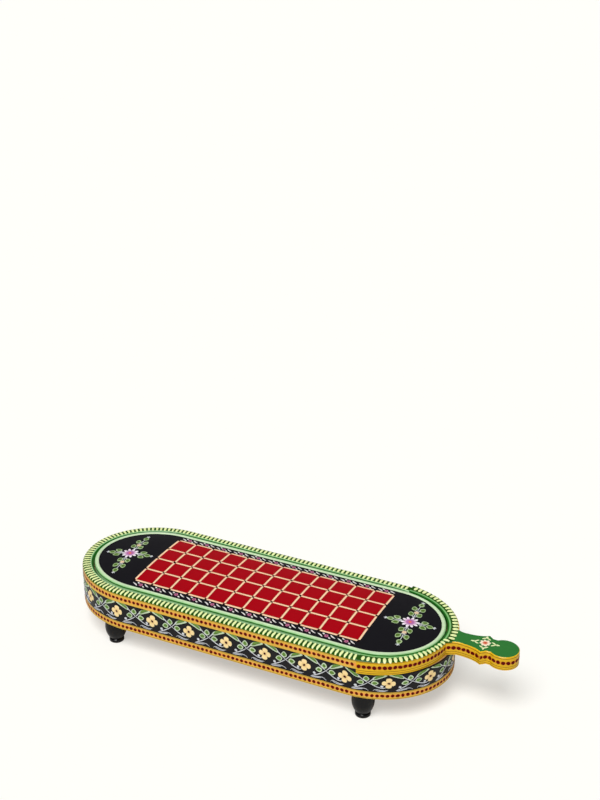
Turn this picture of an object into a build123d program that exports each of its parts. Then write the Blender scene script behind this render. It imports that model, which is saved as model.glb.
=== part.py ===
from build123d import *
import os
from math import cos, radians, sin, sqrt

# Board game case: a long wooden box with rounded ends on four turned feet. The top is a sliding lid
# that carries the playing field and ends in a paddle handle. The box holds two sets of twelve
# counters and four throwing sticks.
# Millimetres, +Z up, the table at Z = 0. The length runs along X with the handle at +X, and the near
# long side faces -Y. X = 0 is the middle of the whole length, handle included.

# Plan of the case
case_width = 165.0
straight_length = 285.0
end_reach = 94.0

# Heights, from the table up
foot_height = 29.0
floor_thickness = 10.0
wall_height = 22.5
channel_height = 6.4
rim_height = 9.6

# Walls and the channel that guides the lid
wall_thickness = 12.0
rail_thickness = 6.0
rim_width = 13.2
rim_shoulder = 3.0
rim_inner_slope = 2.6
rim_past_straight = 14.5

# Lid
slide_gap = 0.3
bead_width = 5.4
bead_gap = 1.4
bead_rise = 1.4
bead_outer_round = 2.4
bead_inner_round = 1.2
field_rise = 1.0
field_crown = 2.9
field_past_straight = 7.5
field_end_shift = 3.5
end_gap = 0.5
lid_end_inset = 4.5
pull_overhang = 2.5
pull_near_draw = 3.5
pull_far_overhang = 3.5
pull_rise = 1.0

# Paddle handle, measured from the tip of the case's rounded end
handle_offset = 6.4
root_half_width = 12.3
root_flare = 8.0
neck_half_width = 10.8
neck_start = 8.5
shoulder_half_width = 17.4
shoulder_at = 35.5
notch_half_width = 12.8
notch_at = 41.0
knob_radius = 17.0
knob_at = 57.0
handle_edge_bevel = 0.8

# Wooden pegs that hold the pull board on the lid board
peg_diameter = 3.0
peg_depth_in_pull = 6.0
peg_clearance = 0.05
peg_end_gap = 0.5
peg_angles = (-62, -22, 22, 62)

# Turned feet
foot_past_left = 20.0
foot_past_right = 18.5
foot_inset_left = 15.5
foot_inset_right = 12.4
foot_bulb_radius = 12.8
foot_bulb_drop = 12.0
foot_top_radius = 11.6
foot_neck_radius = 7.8
foot_sole_radius = 8.8
foot_sole_height = 3.4
foot_sole_bevel = 0.6
foot_neck_rise = 1.2
tenon_diameter = 8.0
tenon_clearance = 0.05
tenon_end_gap = 0.5
tenon_skin = 2.5

# Cross dividers between the three compartments
divider_thickness = 5.0
divider_top_gap = 1.0
housing_depth = 3.0
housing_clearance = 0.1

# Counters, twelve of each colour
counter_radius = 9.5
counter_rim_height = 3.2
counter_waist_radius = 5.2
counter_waist_height = 5.6
counter_cap_radius = 6.6
counter_cap_flare = 1.6
counter_height = 12.0
counter_gap_x = 6.0
counter_gap_y = 6.5
counters_per_row = 3
counter_rows = 4

# Throwing sticks
stick_length = 150.0
stick_width = 13.0
stick_thickness = 7.5
stick_side_height = 2.2
stick_gap = 9.0
stick_count = 4
stick_end_gap = 8.5
stick_end_round = 3.0

# Levels and places that follow from the sizes above
half_width = case_width / 2
half_straight = straight_length / 2
floor_bottom = foot_height
floor_top = floor_bottom + floor_thickness
wall_top = floor_top + wall_height
channel_top = wall_top + channel_height
rim_top = channel_top + rim_height
lid_bottom = wall_top + slide_gap
lid_board_top = channel_top - slide_gap
lid_board_thickness = lid_board_top - lid_bottom
lid_board_inset = rail_thickness + slide_gap
bead_outer_inset = rim_width + bead_gap
bead_inner_inset = bead_outer_inset + bead_width
pull_top = rim_top + pull_rise
rim_end_x = half_straight + rim_past_straight
foot_left_x = -half_straight - foot_past_left
foot_right_x = half_straight + foot_past_right
foot_y_left = half_width - foot_inset_left
foot_y_right = half_width - foot_inset_right
field_right_x = half_straight + field_past_straight
tenon_hole_depth = floor_thickness - tenon_skin
tenon_length = tenon_hole_depth - tenon_end_gap
divider_x = stick_length / 2 + stick_end_gap + divider_thickness / 2
tip_x = half_straight + end_reach
handle_tip_x = tip_x + knob_at + knob_radius
case_x = (tip_x - handle_tip_x) / 2
reach_all = 2 * handle_tip_x


def plan(inset):
    """Plan of the case drawn in by inset: two straight sides joined by half ellipses."""
    half = half_width - inset
    reach = end_reach - inset
    x = half_straight
    return make_face([
        Line((-x, -half), (x, -half)),
        EllipticalCenterArc((x, 0), reach, half, start_angle=-90, arc_size=180),
        Line((x, half), (-x, half)),
        EllipticalCenterArc((-x, 0), reach, half, start_angle=90, arc_size=180),
    ])


def field_reach(inset):
    """Reach of the field's right end from where its straight sides stop, drawn in by inset."""
    return end_reach - field_past_straight + field_end_shift - inset


def field_plan(inset):
    """Plan like the case's, with the fuller right end of the field and the bead round it."""
    half = half_width - inset
    left, right = -half_straight, field_right_x
    return make_face([
        Line((left, -half), (right, -half)),
        EllipticalCenterArc((right, 0), field_reach(inset), half, start_angle=-90, arc_size=180),
        Line((right, half), (left, half)),
        EllipticalCenterArc((left, 0), end_reach - inset, half, start_angle=90, arc_size=180),
    ])


def plate(inset, bottom, top):
    """Flat board with the case's plan."""
    return Pos(0, 0, bottom) * extrude(plan(inset), top - bottom)


def ring(outer_inset, inner_inset, bottom, top):
    """Closed band that follows the case's plan between two insets."""
    return Pos(0, 0, bottom) * extrude(plan(outer_inset) - plan(inner_inset), top - bottom)


def channel_band(inner_inset, bottom, top):
    """Band round the lid's channel: closed at the left, its inner sides straight to the open mouth."""
    mouth = Pos(reach_all / 2, 0) * Rectangle(reach_all, 2 * (half_width - inner_inset))
    beyond = Pos(rim_end_x + reach_all / 2, 0) * Rectangle(reach_all, 2 * case_width)
    return Pos(0, 0, bottom) * extrude(plan(0) - plan(inner_inset) - mouth - beyond, top - bottom)


def outline_share(point):
    """How far out a point lies, from 0 on the centre line to 1 on the case's outline."""
    past_straight = max(abs(point.X) - half_straight, 0)
    return sqrt((past_straight / end_reach) ** 2 + (point.Y / half_width) ** 2)


def block(x0, x1, y0, y1):
    """Tall block that picks out one stretch of a ring or board."""
    return Pos((x0 + x1) / 2, (y0 + y1) / 2, rim_top) * Box(x1 - x0, y1 - y0, 4 * rim_top)


def near_part(shape, x0, x1):
    """Stretch of a ring along the near side."""
    return shape & block(x0, x1, -case_width, 0)


def far_part(shape, x0, x1):
    """Stretch of a ring along the far side."""
    return shape & block(x0, x1, 0, case_width)


def left_part(shape):
    """Rounded left end of a ring."""
    return shape & block(-reach_all, -half_straight, -case_width, case_width)


def right_part(shape, x0):
    """Rounded right end of a ring, from x0 on."""
    return shape & block(x0, reach_all, -case_width, case_width)


def foot_places():
    """Name and centre of each foot."""
    return {
        "foot_near_left": (foot_left_x, -foot_y_left),
        "foot_near_right": (foot_right_x, -foot_y_right),
        "foot_far_left": (foot_left_x, foot_y_left),
        "foot_far_right": (foot_right_x, foot_y_right),
    }


def floor_board():
    """Bottom board with a blind hole for each foot's tenon."""
    board = plate(0, floor_bottom, floor_top)
    for x, y in foot_places().values():
        hole = Cylinder(tenon_diameter / 2 + tenon_clearance, 2 * tenon_hole_depth)
        board -= Pos(x, y, floor_bottom) * hole
    return board


def foot():
    """Turned foot: a bulb that tapers to a neck above a small disc, with a tenon on top."""
    neck_z = foot_sole_height + foot_neck_rise
    bulb_z = foot_height - foot_bulb_drop
    flat_radius = foot_sole_radius - foot_sole_bevel
    outline = [
        Line((0, 0), (flat_radius, 0)),
        Line((flat_radius, 0), (foot_sole_radius, foot_sole_bevel)),
        Line((foot_sole_radius, foot_sole_bevel), (foot_sole_radius, foot_sole_height)),
        Line((foot_sole_radius, foot_sole_height), (foot_neck_radius, neck_z)),
        Spline((foot_neck_radius, neck_z), (foot_bulb_radius, bulb_z), (foot_top_radius, foot_height),
               tangents=((0.8, 1), (-0.25, 1))),
        Line((foot_top_radius, foot_height), (0, foot_height)),
        Line((0, foot_height), (0, 0)),
    ]
    body = revolve(Plane.XZ * make_face(outline), Axis.Z)
    tenon = Pos(0, 0, foot_height + tenon_length / 2) * Cylinder(tenon_diameter / 2, tenon_length)
    return body + tenon


def wall_ring():
    """Wall of the box all round, with the housings that hold the cross dividers."""
    wall = ring(0, wall_thickness, floor_top, wall_top)
    reach_y = half_width - wall_thickness + housing_depth
    slot = Box(divider_thickness + 2 * housing_clearance, 2 * reach_y, 4 * wall_height)
    for x in (-divider_x, divider_x):
        wall -= Pos(x, 0, wall_top) * slot
    return wall


def divider():
    """Cross board that stands in the side walls' housings."""
    length = 2 * (half_width - wall_thickness + housing_depth - housing_clearance)
    height = wall_height - divider_top_gap
    return Pos(0, 0, floor_top + height / 2) * Box(divider_thickness, length, height)


def rim_band():
    """Moulding over the channel: a rounded outer shoulder and a slope down to the lid."""
    rim = channel_band(rim_width, channel_top, rim_top)
    between = 1 - rim_width / 2 / end_reach
    outer_edges = [e for e in rim.faces().sort_by(Axis.Z)[-1].edges() if outline_share(e @ 0.5) > between]
    rim = fillet([e for e in outer_edges if (e @ 0.5).X < rim_end_x - slide_gap], rim_shoulder)
    inner_edges = [e for e in rim.faces().sort_by(Axis.Z)[-1].edges() if outline_share(e @ 0.5) < between]
    return chamfer([e for e in inner_edges if (e @ 0.5).X < rim_end_x - slide_gap], rim_inner_slope)


def bead_ring():
    """Rounded bead round the playing field, falling further on its outer side."""
    band = field_plan(bead_outer_inset) - field_plan(bead_inner_inset)
    bead = Pos(0, 0, lid_board_top) * extrude(band, rim_top + bead_rise - lid_board_top)
    top = bead.faces().sort_by(Axis.Z)[-1]
    bead = fillet(top.outer_wire().edges(), bead_outer_round)
    top = bead.faces().sort_by(Axis.Z)[-1]
    return fillet(top.inner_wires()[0].edges(), bead_inner_round)


def playing_panel():
    """Field board with a slightly crowned top, the crown running out at the rounded ends."""
    half = half_width - bead_inner_inset
    left_reach = end_reach - bead_inner_inset
    right_reach = field_reach(bead_inner_inset)
    bottom = lid_board_top
    edge = rim_top + field_rise
    crown = edge + field_crown
    curve_radius = (half ** 2 + field_crown ** 2) / (2 * field_crown)
    curve_centre = crown - curve_radius
    half_way = half / 2
    half_way_z = curve_centre + sqrt(curve_radius ** 2 - half_way ** 2)
    section = make_face([
        Line((0, crown), (0, bottom)),
        Line((0, bottom), (half, bottom)),
        Line((half, bottom), (half, edge)),
        ThreePointArc((half, edge), (half_way, half_way_z), (0, crown)),
    ])
    standing = Plane.YZ * section
    middle = Pos(-half_straight, 0, 0) * extrude(standing, straight_length + field_past_straight)
    panel = middle + mirror(middle, Plane.XZ)
    round_end = revolve(standing, Axis.Z, 180)
    left_end = Pos(-half_straight, 0, 0) * scale(round_end, (left_reach / half, 1, 1))
    right_end = mirror(scale(round_end, (right_reach / half, 1, 1)), Plane.YZ)
    return panel + left_end + Pos(field_right_x, 0, 0) * right_end


def peg_points():
    """Centres of the pegs, in the middle of the lap between lid board and pull board."""
    x = (half_straight + field_right_x) / 2
    reach = (end_reach - lid_end_inset + field_reach(rim_width)) / 2
    half = half_width - (lid_end_inset + rim_width) / 2
    return [(x + reach * cos(radians(a)), half * sin(radians(a))) for a in peg_angles]


def lid_end():
    """Wider end of the lid board, past the channel's mouth, that the pull board laps."""
    return right_part(plate(lid_end_inset, lid_bottom, lid_board_top), rim_end_x + end_gap)


def lid_board():
    """Thin wide board whose edges run in the channel."""
    board = plate(lid_board_inset, lid_bottom, lid_board_top) + lid_end()
    hole = Cylinder(peg_diameter / 2 + peg_clearance, 4 * lid_board_thickness)
    for x, y in peg_points():
        board -= Pos(x, y, lid_board_top) * hole
    return board


def handle_outline():
    """Plan of the paddle: flared root, neck, pointed shoulders, notch and round knob."""
    root_x = tip_x - root_flare
    neck_x = tip_x + neck_start
    shoulder_x = tip_x + shoulder_at
    notch_x = tip_x + notch_at
    knob_x = tip_x + knob_at
    meet_x = knob_x - sqrt(knob_radius ** 2 - notch_half_width ** 2)
    side = [
        Line((root_x, 0), (root_x, root_half_width + root_flare)),
        Spline((root_x, root_half_width + root_flare), (tip_x + pull_overhang, root_half_width),
               (neck_x, neck_half_width), tangents=((1, -1.3), (1, 0))),
        Spline((neck_x, neck_half_width), (shoulder_x, shoulder_half_width), tangents=((1, 0), (1, 0.75))),
        Line((shoulder_x, shoulder_half_width), (notch_x, notch_half_width)),
        Line((notch_x, notch_half_width), (meet_x, notch_half_width)),
        ThreePointArc((meet_x, notch_half_width), (knob_x, knob_radius), (knob_x + knob_radius, 0)),
        Line((knob_x + knob_radius, 0), (root_x, 0)),
    ]
    half = make_face(side)
    return half + mirror(half, Plane.XZ)


def end_ring(reach):
    """End board round the field, reaching so far past the straight sides, its outer edge rounded."""
    half = half_width + pull_overhang
    outline = make_face([
        Line((0, -half), (half_straight, -half)),
        EllipticalCenterArc((half_straight, 0), reach, half, start_angle=-90, arc_size=180),
        Line((half_straight, half), (0, half)),
        Line((0, half), (0, -half)),
    ])
    board = Pos(0, 0, lid_bottom) * extrude(outline - field_plan(rim_width), pull_top - lid_bottom)
    board = right_part(board, rim_end_x + end_gap)
    inner_tip = field_right_x + field_reach(rim_width)
    top_edges = board.faces().sort_by(Axis.Z)[-1].edges()
    return fillet([e for e in top_edges if e.bounding_box().max.X > inner_tip + end_gap], rim_shoulder)


def pull_board():
    """End board of the lid, fuller on its far half, cut with the paddle handle in one piece."""
    near = near_part(end_ring(end_reach - pull_near_draw), 0, reach_all)
    far = far_part(end_ring(end_reach + pull_far_overhang), 0, reach_all)
    inside = Pos(0, 0, lid_bottom) * extrude(field_plan(rim_width), pull_top - lid_bottom)
    handle = Pos(0, handle_offset, lid_bottom) * extrude(handle_outline(), pull_top - lid_bottom)
    top_edge = handle.faces().sort_by(Axis.Z)[-1].edges()
    handle = chamfer(top_edge, handle_edge_bevel)
    board = near + far + handle - inside - lid_end()
    hole = Cylinder(peg_diameter / 2 + peg_clearance, 2 * peg_depth_in_pull)
    for x, y in peg_points():
        board -= Pos(x, y, lid_board_top) * hole
    return board


def pegs():
    """Wooden pegs up through the lid board into the pull board."""
    length = lid_board_thickness + peg_depth_in_pull - peg_end_gap
    peg = Cylinder(peg_diameter / 2, length)
    return [Pos(x, y, lid_bottom + length / 2) * peg for x, y in peg_points()]


def counter():
    """Turned counter: a wide base, a waist and a domed cap."""
    cap_z = counter_waist_height + counter_cap_flare
    outline = [
        Line((0, 0), (counter_radius, 0)),
        Line((counter_radius, 0), (counter_radius, counter_rim_height)),
        Spline((counter_radius, counter_rim_height), (counter_waist_radius, counter_waist_height),
               tangents=((-1, 0.2), (-0.2, 1))),
        Line((counter_waist_radius, counter_waist_height), (counter_cap_radius, cap_z)),
        Spline((counter_cap_radius, cap_z), (0, counter_height), tangents=((0, 1), (-1, 0))),
        Line((0, counter_height), (0, 0)),
    ]
    return revolve(Plane.XZ * make_face(outline), Axis.Z)


def counter_places():
    """Centres of the twelve counters of one compartment, measured from its divider outwards."""
    pitch_x = 2 * counter_radius + counter_gap_x
    pitch_y = 2 * counter_radius + counter_gap_y
    first = divider_x + divider_thickness / 2 + counter_gap_x + counter_radius
    places = []
    for i in range(counters_per_row):
        for j in range(counter_rows):
            places.append((first + i * pitch_x, (j - (counter_rows - 1) / 2) * pitch_y))
    return places


def stick():
    """Throwing stick: flat below, rounded above, with blunt rounded ends."""
    half = stick_width / 2
    section = make_face([
        Line((-half, 0), (half, 0)),
        Line((half, 0), (half, stick_side_height)),
        ThreePointArc((half, stick_side_height), (0, stick_thickness), (-half, stick_side_height)),
        Line((-half, stick_side_height), (-half, 0)),
    ])
    bar = extrude(Plane.YZ * section, stick_length / 2, both=True)
    rounded = RectangleRounded(stick_length, stick_width, stick_end_round)
    return bar & extrude(rounded, 2 * stick_thickness)


def all_parts():
    """Every sub-part of the case by node name, in the frame of the case's own middle."""
    parts = {"floor_board": floor_board()}
    for name, (x, y) in foot_places().items():
        parts[name] = Pos(x, y, 0) * foot()

    wall = wall_ring()
    parts["wall_near"] = near_part(wall, -half_straight, half_straight)
    parts["wall_far"] = far_part(wall, -half_straight, half_straight)
    parts["wall_end_left"] = left_part(wall)
    parts["wall_end_right"] = right_part(wall, half_straight)
    parts["divider_left"] = Pos(-divider_x, 0, 0) * divider()
    parts["divider_right"] = Pos(divider_x, 0, 0) * divider()

    rail = channel_band(rail_thickness, wall_top, channel_top)
    parts["channel_rail_near"] = near_part(rail, -half_straight, rim_end_x)
    parts["channel_rail_far"] = far_part(rail, -half_straight, rim_end_x)
    parts["channel_rail_left"] = left_part(rail)

    rim = rim_band()
    parts["rim_near"] = near_part(rim, -half_straight, rim_end_x)
    parts["rim_far"] = far_part(rim, -half_straight, rim_end_x)
    parts["rim_left"] = left_part(rim)

    parts["lid_board"] = lid_board()
    parts["playing_panel"] = playing_panel()
    bead = bead_ring()
    parts["bead_near"] = near_part(bead, -half_straight, field_right_x)
    parts["bead_far"] = far_part(bead, -half_straight, field_right_x)
    parts["bead_left"] = left_part(bead)
    parts["bead_right"] = right_part(bead, field_right_x)
    parts["pull_board"] = pull_board()
    parts["lid_pegs"] = Compound(pegs())

    for index, (x, y) in enumerate(counter_places(), start=1):
        parts[f"counter_yellow_{index:02d}"] = Pos(-x, y, floor_top) * counter()
        parts[f"counter_green_{index:02d}"] = Pos(x, y, floor_top) * counter()
    for index in range(stick_count):
        y = (index - (stick_count - 1) / 2) * (stick_width + stick_gap)
        parts[f"throwing_stick_{index + 1}"] = Pos(0, y, floor_top) * stick()
    return parts


def main():
    """Write one STEP file for each sub-part."""
    os.makedirs("parts", exist_ok=True)
    for name, shape in all_parts().items():
        export_step(Pos(case_x, 0, 0) * shape, f"parts/{name}.step")


main()
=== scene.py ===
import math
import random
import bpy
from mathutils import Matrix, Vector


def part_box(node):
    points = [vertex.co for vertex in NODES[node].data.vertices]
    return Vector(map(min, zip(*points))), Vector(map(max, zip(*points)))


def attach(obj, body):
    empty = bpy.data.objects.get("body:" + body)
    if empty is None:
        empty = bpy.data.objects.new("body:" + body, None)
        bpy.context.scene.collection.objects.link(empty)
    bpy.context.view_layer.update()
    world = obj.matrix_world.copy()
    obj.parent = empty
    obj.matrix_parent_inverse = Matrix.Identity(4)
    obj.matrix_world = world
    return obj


bl_info = {
    "name": "Painted Board Game Box",
    "version": (1, 0, 0),
    "blender": (4, 5, 0),
    "location": "3D View > Sidebar > Game Box",
    "description": "Lacquers and paints a long game box with a sliding lid and sets it on a pale floor",
    "category": "Object",
}

import bmesh
import bpy
from bpy.props import FloatProperty, FloatVectorProperty, IntProperty, PointerProperty
from mathutils import Vector
from mathutils.bvhtree import BVHTree

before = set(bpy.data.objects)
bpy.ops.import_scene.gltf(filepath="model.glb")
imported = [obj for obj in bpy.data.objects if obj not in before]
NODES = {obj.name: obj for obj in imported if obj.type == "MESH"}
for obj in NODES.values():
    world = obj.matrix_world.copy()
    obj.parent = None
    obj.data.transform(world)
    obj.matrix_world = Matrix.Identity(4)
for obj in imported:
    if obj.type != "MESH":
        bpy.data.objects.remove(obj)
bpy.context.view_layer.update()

MM = 0.001
DOWN = Vector((0, 0, -1))
PROBE = 0.02

# The case in plan and in height, in millimetres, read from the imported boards
FLOOR_LOW, FLOOR_HIGH = (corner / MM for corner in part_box("floor_board"))
WALL_LOW, WALL_HIGH = (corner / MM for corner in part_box("wall_near"))
RIM_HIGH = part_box("rim_near")[1] / MM
PULL_LOW, PULL_HIGH = (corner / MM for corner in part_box("pull_board"))
FIELD_LOW, FIELD_HIGH = (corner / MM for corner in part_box("playing_panel"))
CASE_X = (FLOOR_LOW.x + FLOOR_HIGH.x) / 2
HALF_WIDTH = FLOOR_HIGH.y
HALF_STRAIGHT = (WALL_HIGH.x - WALL_LOW.x) / 2
END_REACH = (FLOOR_HIGH.x - FLOOR_LOW.x) / 2 - HALF_STRAIGHT
SEAM_X = RIM_HIGH.x
FIELD_HALF = FIELD_HIGH.y
FIELD_END_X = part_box("bead_right")[0].x / MM - CASE_X
FIELD_END_REACH = FIELD_HIGH.x - CASE_X - FIELD_END_X
ABOVE = FIELD_HIGH.z * MM + PROBE

# Stripe and thin lines of each band, as heights above the table, in millimetres
LOWER_STRIPE, LOWER_LINES = (32.0, 35.6), ((29.6, 30.1), (37.2, 37.7))
UPPER_STRIPE, UPPER_LINES = (68.8, 72.6), ((66.2, 66.7), (74.8, 75.3))
LID_STRIPE, LID_LINES = (69.0, 72.8), ((76.0, 76.7), (65.7, 66.3), (63.2, 63.8))

# Rings of a counter, up from the case's floor, and of a stick, out from its middle
COUNTER_RINGS = ((1.4, 1.9), (3.6, 4.0), (7.4, 7.8), (9.6, 10.0))
STICK_RINGS = ((60.0, 61.5), (1.5, 2.4), (56.0, 56.9), (66.0, 66.9))

# Where paints meet on the case, in from its outline
FLOOR_PAINT_IN, WALL_PAINT_IN, RIM_SIDE_IN, RIM_STRIP_IN, RIM_SLOPE_IN = 1.6, 2.0, 3.0, 9.4, 10.9

# Where paints meet on the lid: out from the field
MINT_OUT, BEAD_OUT, GROOVE_OUT, STRIP_OUT, STRIP_FULL_OUT = 4.0, 5.0, 7.4, 8.6, 10.4
# height on the bead's slope, then down from the top of the handle and of the lid's end
BEAD_SLOPE, HANDLE_EDGE_DOWN, END_EDGE_DOWN = 76.3, 0.12, 1.5
# and in from the case's outline, where the handle begins just outside it
HANDLE_IN = -2.0

RIMS = ("rim_near", "rim_far", "rim_left")


def srgb(red, green, blue):
    """Colour that Blender's nodes take, from the values 0 to 255 of a colour as it is seen."""
    return tuple(
        v / 12.92 if v <= 0.04045 else ((v + 0.055) / 1.055) ** 2.4
        for v in (red / 255, green / 255, blue / 255)
    )


def place(name, millimetres, description, **limits):
    return FloatProperty(
        name=name, description=description, default=millimetres * MM, unit="LENGTH", **limits
    )


def length(name, millimetres, description):
    return place(name, millimetres, description, min=0.0)


def share(name, value, description):
    return FloatProperty(
        name=name, description=description, default=value, min=0.0, max=1.0, subtype="FACTOR"
    )


def colour(name, value, description):
    return FloatVectorProperty(
        name=name, description=description, default=srgb(*value), size=3, min=0.0, max=1.0, subtype="COLOR"
    )


class BoxFieldSettings(bpy.types.PropertyGroup):
    """Sizes and colours of the playing field."""

    columns: IntProperty(name="Columns", description="Squares along the field", default=12, min=1)
    rows: IntProperty(name="Rows", description="Squares across the field", default=4, min=1)
    start: place("Grid start", -142.7, "First line of the grid, from the middle of the case")
    end: place("Grid end", 145.8, "Last line of the grid, from the middle of the case")
    half: length("Grid half width", 51.35, "From the middle line to the outermost line")
    offset: place("Grid offset", 0.6, "How far the grid stands off the middle of the case")
    line: length("Line width", 2.4, "Width of the painted lines")
    edge: length("Dark edge", 0.35, "Black left between a line and a square")
    black: colour("Field black", (24, 23, 27), "Lacquer of the field")
    red: colour("Square red", (169, 2, 18), "Paint of the squares")
    cream: colour("Line cream", (255, 214, 174), "Paint of the lines")
    maroon: colour("Crossing dots", (30, 3, 3), "Paint of the dots where lines cross")
    rose: colour("Border flowers", (190, 110, 146), "Paint of the small flowers beside the grid")
    white: colour("Border leaves", (232, 228, 226), "Paint of the small leaves beside the grid")


class BoxSpraySettings(bpy.types.PropertyGroup):
    """Sizes and colours of the flower sprays at the field's ends."""

    left_x: place("Left spray", -180.0, "Middle of the left spray, from the middle of the case")
    right_x: place("Right spray", 183.7, "Middle of the right spray, from the middle of the case")
    left_y: place("Left offset", -3.0, "How far the left spray stands off the middle line")
    right_y: place("Right offset", 6.4, "How far the right spray stands off the middle line")
    petals: IntProperty(name="Petals", description="Petals of the large flower", default=10, min=3)
    petal: length("Petal length", 10.6, "Length of the large flower's petals")
    leaf: length("Leaf length", 8.4, "Length of the spray's leaves")
    petal_tip: colour("Petal tip", (255, 248, 254), "Outer end of the large flower's petals")
    petal_root: colour("Petal root", (186, 106, 172), "Inner end of the large flower's petals")
    heart: colour("Flower heart", (238, 122, 84), "Middle of the large flower")
    blossom: colour("Small blossom", (234, 206, 170), "Small round blossoms on the sprays")


class BoxVineSettings(bpy.types.PropertyGroup):
    """Sizes and colours of the vine round the side."""

    flowers: IntProperty(name="Flowers", description="Flowers round the whole case", default=23, min=3)
    first: length("First flower", 33.0, "Way from the left tip round the near side to the first flower")
    petal: length("Petal length", 7.6, "Length of a flower's petals")
    stem: length("Stem width", 1.05, "Width of the painted stems")
    cream: colour("Petal cream", (255, 228, 166), "Outer part of the petals")
    amber: colour("Petal shading", (232, 190, 118), "Inner part of the petals")
    heart: colour("Flower heart", (70, 8, 4), "Dot in the middle of a flower")
    leaf: colour("Leaf green", (106, 146, 62), "Inside of the leaves")
    leaf_edge: colour("Leaf edge", (204, 222, 188), "Pale outline of the leaves")
    vein: colour("Leaf vein", (60, 92, 34), "Dark line along the leaves")
    stem_grey: colour("Stem grey", (214, 217, 222), "Paint of stems and buds")
    spray_edge: colour("Spray leaf edge", (176, 200, 150), "Pale outline of the leaves on the field")
    spray_leaf: colour("Spray leaf green", (98, 132, 56), "Inside of the leaves on the field")


class BoxBandSettings(bpy.types.PropertyGroup):
    """Sizes and colours of the painted bands."""

    lower_top: length("Lower band top", 38.3, "Height where the lower yellow band ends")
    upper_bottom: length("Upper band bottom", 65.4, "Height where the upper yellow band starts")
    upper_top: length("Upper band top", 75.6, "Height where the upper yellow band ends")
    pitch: length("Dot pitch", 5.65, "Distance from dot to dot")
    dot: length("Dot width", 3.9, "Width of a dot on the case")
    lid_dot: length("Lid dot width", 4.5, "Width of a dot on the lid's edge")
    lid_dots: length("Lid dot height", 70.9, "Height of the dots on the lid's edge")
    dash_pitch: length("Dash pitch", 5.5, "Distance from dash to dash on the rim")
    dash: length("Dash length", 9.4, "Length of a dash across the rim")
    dash_width: length("Dash width", 3.1, "Width of a dash")
    dash_middle: length("Dash place", 5.2, "Middle of the dashes, in from the outline")
    end_pitch: length("End dash pitch", 4.95, "Distance from dash to dash, along the field's rounded end")
    end_dash: length("End dash length", 7.0, "Length of a dash on the lid's end")
    end_start: length("End dash place", 7.9, "Least distance of those dashes from the field's edge")
    end_reach: length("End dash reach", 19.0, "Largest distance of a dash's outer end from the field's edge")
    gold: colour("Case yellow", (230, 184, 72), "Ground of the bands on the case")
    orange: colour("Case orange", (244, 158, 76), "Stripe behind the dots")
    gold_line: colour("Case line", (140, 112, 40), "Thin lines along the bands of the case")
    lid_gold: colour("Lid yellow", (232, 184, 28), "Ground of the lid's edge and of the handle's side")
    lid_orange: colour("Lid orange", (230, 146, 44), "Stripe behind the dots of the lid's edge")
    lid_line: colour("Lid line", (140, 88, 4), "Thin lines on the lid's edge")
    maroon: colour("Dot red", (100, 2, 0), "Paint of the dots")
    dash_cream: colour("Dash cream", (238, 248, 178), "Paint of the dashes")
    strip_green: colour("Strip green", (38, 84, 16), "Ground behind the dashes")
    slope_green: colour("Line green", (168, 214, 156), "Thin line inside the dashes")
    groove_green: colour("Groove green", (38, 112, 34), "Slope of the rim and groove beside the bead")
    bead_green: colour("Bead green", (138, 198, 124), "Outer side of the bead")
    mint: colour("Bead mint", (208, 231, 190), "Top of the bead")


class BoxHandleSettings(bpy.types.PropertyGroup):
    """Sizes and colours of the handle's top."""

    flower_x: length("Flower place", 271.5, "Middle of the flower, from the middle of the case")
    flower_y: place("Flower offset", 7.4, "How far the flower stands off the middle line")
    petal: length("Petal length", 6.4, "Length of the petals")
    green: colour("Handle green", (52, 122, 56), "Ground of the handle's top")
    petal_tip: colour("Petal tip", (252, 236, 208), "Outer end of the petals")
    petal_root: colour("Petal root", (222, 120, 88), "Inner end of the petals")
    heart: colour("Flower heart", (206, 62, 38), "Middle of the flower")
    sprig: colour("Sprig cream", (234, 242, 184), "Paint of the four sprigs")


class BoxFinishSettings(bpy.types.PropertyGroup):
    """Lacquer, brush marks and plain wood."""

    coat: share("Varnish", 0.4, "Clear varnish over the paint")
    coat_roughness: share("Varnish roughness", 0.16, "Roughness of the varnish")
    sheen: share("Shine", 0.03, "Strength of the paint's own highlights")
    streaks: share("Brush streaks", 0.5, "Unevenness that the brush leaves in the paint")
    relief: length("Paint relief", 0.26, "How high a painted motif stands")
    wall_black: colour("Wall black", (14, 13, 17), "Ground of the vine")
    foot_black: colour("Foot black", (12, 12, 13), "Lacquer of the feet")
    wood_light: colour("Light wood", (214, 176, 124), "Light grain of the bare wood")
    wood_dark: colour("Dark wood", (158, 112, 66), "Dark grain of the bare wood")
    counter_yellow: colour("Yellow counters", (232, 176, 40), "Lacquer of one set of counters")
    counter_green: colour("Green counters", (36, 112, 48), "Lacquer of the other set of counters")
    stick_ivory: colour("Sticks", (236, 222, 186), "Paint of the throwing sticks")


class BoxStageSettings(bpy.types.PropertyGroup):
    """Floor, light and camera."""

    key: FloatProperty(name="Key light", description="Strength of the soft main light", default=3.05, min=0.0)
    fill: FloatProperty(
        name="Fill light", description="Strength of the light from all round", default=0.2, min=0.0
    )
    softness: FloatProperty(
        name="Softness",
        description="Angle that the main light fills",
        default=math.radians(38),
        subtype="ANGLE",
    )
    floor: colour("Floor", (254, 253, 248), "Colour of the floor")
    floor_white: share("Floor white", 0.46, "Part of the floor's colour that the shadow doesn't touch")
    backdrop: colour("Backdrop", (254, 253, 249), "Colour behind the box")
    lens: FloatProperty(
        name="Lens",
        description="Focal length of the camera",
        default=60.16,
        min=10.0,
        subtype="DISTANCE_CAMERA",
    )


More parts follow.
